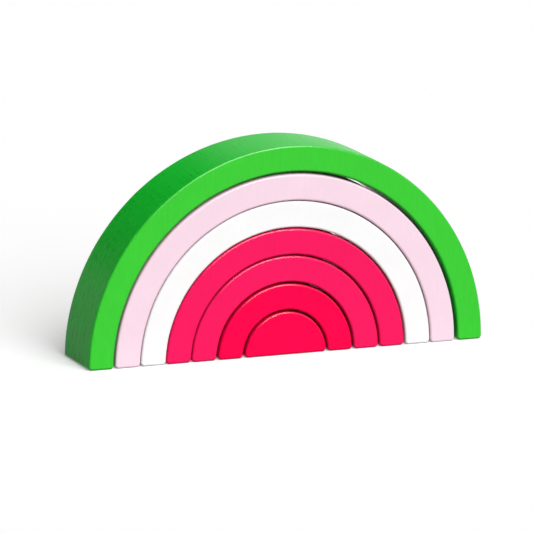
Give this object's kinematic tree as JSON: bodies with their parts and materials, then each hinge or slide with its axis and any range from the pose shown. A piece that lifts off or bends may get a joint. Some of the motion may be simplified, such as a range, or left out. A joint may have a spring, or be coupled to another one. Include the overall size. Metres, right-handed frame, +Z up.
{
  "type": "rainbow stacker",
  "caption": "Nesting wooden rainbow stacker: concentric painted half-ring arches standing one inside the next over a solid half-round core, each piece loose and free to slide out.",
  "frame": {"origin": "on the floor, under the middle of the outermost arch, halfway through its depth", "axes": "+X across the arches, to the right seen from the front; +Y from the front face to the back face; +Z up"},
  "size_m": [0.2, 0.032, 0.1],
  "materials": {
    "green_paint": "satin paint on wood",
    "pale_pink_paint": "satin paint on wood",
    "white_paint": "satin paint on wood",
    "rose_paint": "satin paint on wood",
    "red_paint": "satin paint on wood"
  },
  "bodies": {
    "green_arch": {"green_arch": "green_paint"},
    "pale_pink_arch": {"pale_pink_arch": "pale_pink_paint"},
    "white_arch": {"white_arch": "white_paint"},
    "outer_rose_arch": {"outer_rose_arch": "rose_paint"},
    "inner_rose_arch": {"inner_rose_arch": "rose_paint"},
    "red_arch": {"red_arch": "red_paint"},
    "core_block": {"core_block": "red_paint"}
  },
  "joints": [
    {"name": "pale_pink_slide", "type": "slide", "parent": "green_arch", "child": "pale_pink_arch", "axis": [0, 1, 0], "range_m": [-0.04, 0.04]},
    {"name": "white_slide", "type": "slide", "parent": "pale_pink_arch", "child": "white_arch", "axis": [0, 1, 0], "range_m": [-0.04, 0.04]},
    {"name": "outer_rose_slide", "type": "slide", "parent": "white_arch", "child": "outer_rose_arch", "axis": [0, 1, 0], "range_m": [-0.04, 0.04]},
    {"name": "inner_rose_slide", "type": "slide", "parent": "outer_rose_arch", "child": "inner_rose_arch", "axis": [0, 1, 0], "range_m": [-0.04, 0.04]},
    {"name": "red_slide", "type": "slide", "parent": "inner_rose_arch", "child": "red_arch", "axis": [0, 1, 0], "range_m": [-0.04, 0.04]},
    {"name": "core_slide", "type": "slide", "parent": "red_arch", "child": "core_block", "axis": [0, 1, 0], "range_m": [-0.04, 0.04]}
  ]
}
